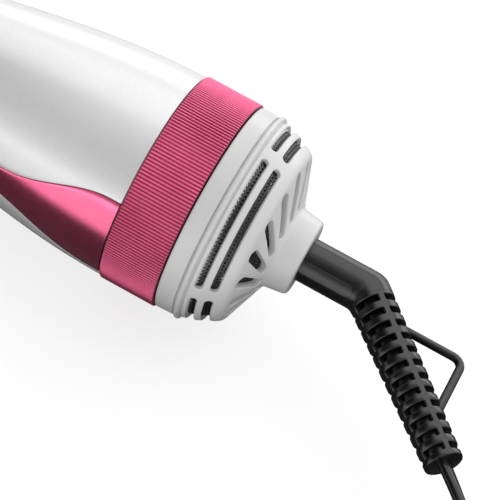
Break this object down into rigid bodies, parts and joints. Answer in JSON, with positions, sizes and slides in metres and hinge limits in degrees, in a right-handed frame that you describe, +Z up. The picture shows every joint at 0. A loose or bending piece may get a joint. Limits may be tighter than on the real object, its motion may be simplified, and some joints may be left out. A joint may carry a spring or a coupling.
{
  "type": "hot air brush",
  "caption": "Hot air brush: oval pin barrel, swelling handle, ribbed selector ring, slotted rear intake, swivelling cord entry with strain relief and loop, and a two-pin plug.",
  "frame": {"origin": "on the surface that the brush lies on, under the middle of the brush from the tip of its head to the end of its strain relief", "axes": "+X along the handle from the brush head to the cord, +Z up through the middle of the handle's top"},
  "size_m": [0.5719, 0.1217, 0.064],
  "materials": {
    "pearl_white": "pearl gloss",
    "pink_metallic": "metallised satin gloss",
    "pink_ceramic": "satin ceramic coating",
    "black_moulding": "fine moulded grain",
    "filter_mesh": "black perforated sheet",
    "black_elastomer": "satin elastomer",
    "cord_jacket": "satin jacket",
    "tie_strap": "ribbed strap",
    "nickel_plate": "nickel plated",
    "steel": "zinc plated",
    "brass": "stamped",
    "copper_winding": "enamelled wire",
    "laminated_steel": "laminated",
    "ferrite": "sintered",
    "carbon": "pressed carbon",
    "circuit_board": "solder mask",
    "natural_nylon": "natural",
    "mica": "mica sheet",
    "heater_wire": "resistance wire",
    "lead_sleeve": "insulated lead",
    "nylon_pin": "nylon, ball tips",
    "bristle": "bundled nylon filament"
  },
  "bodies": {
    "housing": {"upper_shell": "pearl_white", "lower_shell": "pearl_white", "left_inlay": "pink_metallic", "right_inlay": "pink_metallic", "shell_screws": "steel", "rear_frame": "black_moulding", "tail_band": "pearl_white", "intake_grille": "pearl_white", "intake_filter": "filter_mesh", "switch_board": "circuit_board", "switch_contacts": "brass", "detent_spring": "nickel_plate", "swivel_retainer": "black_moulding", "contact_block": "natural_nylon", "contact_springs": "brass", "fan_shroud": "natural_nylon", "shroud_gasket": "black_elastomer", "motor_can": "steel", "motor_endbell": "black_moulding", "motor_magnets": "ferrite", "motor_bearings": "brass", "carbon_brushes": "carbon", "rectifier_board": "circuit_board", "heater_sleeve": "mica", "heater_frame": "mica", "heater_coil": "heater_wire", "thermostat": "steel", "thermal_fuse": "steel", "internal_leads": "lead_sleeve", "neck_collar": "pink_metallic", "head_base": "black_moulding", "barrel": "black_moulding", "upper_plate": "pink_ceramic", "lower_plate": "pink_ceramic", "upper_pins": "nylon_pin", "lower_pins": "nylon_pin", "left_bristles": "bristle", "right_bristles": "bristle", "end_cap": "pink_metallic"},
    "selector": {"selector_ring": "pink_metallic", "selector_carrier": "black_moulding", "switch_wiper": "brass"},
    "rotor": {"motor_shaft": "steel", "armature": "laminated_steel", "armature_coils": "copper_winding", "commutator": "brass", "fan_impeller": "natural_nylon"},
    "swivel": {"swivel_sleeve": "black_moulding", "slip_ring_core": "natural_nylon", "slip_rings": "brass", "cord_boot": "black_elastomer", "hanging_loop": "black_elastomer", "supply_cord": "cord_jacket", "cord_hank": "cord_jacket", "cord_tie": "tie_strap", "plug_lead": "cord_jacket", "plug_relief": "black_elastomer", "plug_body": "black_moulding", "plug_pins": "nickel_plate"}
  },
  "joints": [
    {"name": "selector_turn", "type": "hinge", "parent": "housing", "child": "selector", "pos_m": [0.1078, 0, 0.032], "axis": [1, 0, 0], "range_deg": [0, 90]},
    {"name": "fan_spin", "type": "hinge", "parent": "housing", "child": "rotor", "pos_m": [0.06915, 0, 0.032], "axis": [1, 0, 0], "continuous": true},
    {"name": "cord_swivel", "type": "hinge", "parent": "housing", "child": "swivel", "pos_m": [0.14315, 0, 0.032], "axis": [1, 0, 0], "continuous": true}
  ]
}
